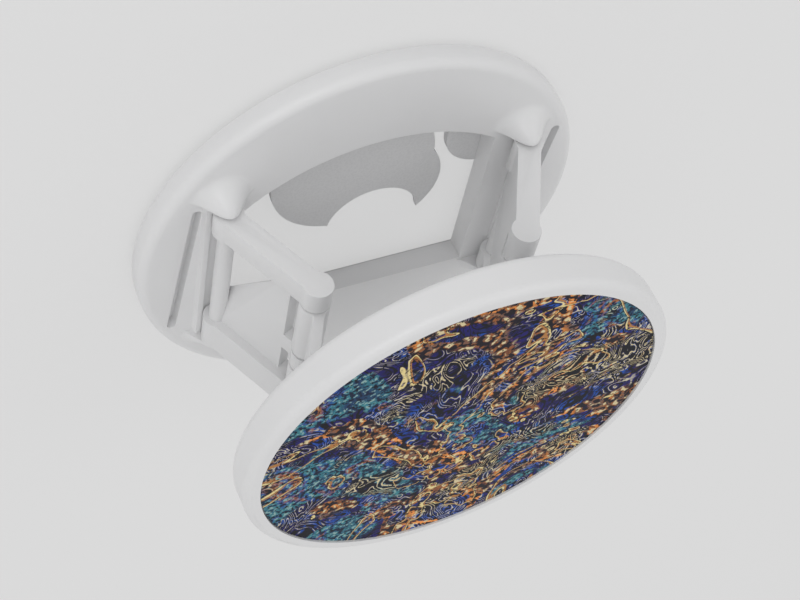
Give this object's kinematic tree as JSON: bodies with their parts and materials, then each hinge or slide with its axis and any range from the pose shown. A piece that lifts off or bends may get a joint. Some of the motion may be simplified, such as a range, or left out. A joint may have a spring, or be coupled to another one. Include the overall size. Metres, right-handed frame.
{
  "type": "folding phone grip",
  "caption": "Round stick-on phone grip that stands open on hinged leg pairs, with a printed disc set in the top and a pad behind the base.",
  "frame": {"origin": "centre of the sticking face behind the base", "axes": "+Z out of the phone towards the print, hinges along Y, left leg pair at +X"},
  "size_m": [0.04, 0.04, 0.0235],
  "materials": {
    "white_shell": "smooth satin white moulding",
    "white_leg": "fine satin white moulding",
    "adhesive_foam": "grey double-sided foam",
    "pin_steel": "bright drawn steel wire",
    "clear_film": "translucent transfer film, seen as pale",
    "printed_card": "gloss printed insert, deep blue with teal, copper and cream fields"
  },
  "bodies": {
    "base": {"base_plate": "white_shell", "adhesive_pad": "adhesive_foam", "left_base_pin": "pin_steel", "right_base_pin": "pin_steel"},
    "left_lower": {"left_lower_leg": "white_leg", "left_knee_pin": "pin_steel"},
    "right_lower": {"right_lower_leg": "white_leg", "right_knee_pin": "pin_steel"},
    "left_upper": {"left_upper_leg": "white_leg"},
    "right_upper": {"right_upper_leg": "white_leg"},
    "top": {"top_frame": "white_leg", "top_cover": "white_shell", "insert_tape": "clear_film", "print_disc": "printed_card", "left_top_pin": "pin_steel", "right_top_pin": "pin_steel"}
  },
  "joints": [
    {"name": "fold", "type": "hinge", "parent": "base", "child": "left_lower", "pos_m": [0.0134, 0, 0.0041], "axis": [0, -1, 0], "range_deg": [0, 53]},
    {"name": "left_knee", "type": "hinge", "parent": "left_lower", "child": "left_upper", "pos_m": [0.00911, 0, 0.01252], "axis": [0, 1, 0], "range_deg": [0, 106]},
    {"name": "left_crown", "type": "hinge", "parent": "left_upper", "child": "top", "pos_m": [0.0134, 0, 0.02094], "axis": [0, -1, 0], "range_deg": [0, 53]},
    {"name": "right_fold", "type": "hinge", "parent": "base", "child": "right_lower", "pos_m": [-0.0134, 0, 0.0041], "axis": [0, 1, 0], "range_deg": [0, 53]},
    {"name": "right_knee", "type": "hinge", "parent": "right_lower", "child": "right_upper", "pos_m": [-0.00911, 0, 0.01252], "axis": [0, -1, 0], "range_deg": [0, 106]}
  ],
  "couplings": [
    {"joint": "left_knee", "follows": "fold", "ratio": 2},
    {"joint": "left_crown", "follows": "fold", "ratio": 1},
    {"joint": "right_fold", "follows": "fold", "ratio": 1},
    {"joint": "right_knee", "follows": "fold", "ratio": 2}
  ]
}
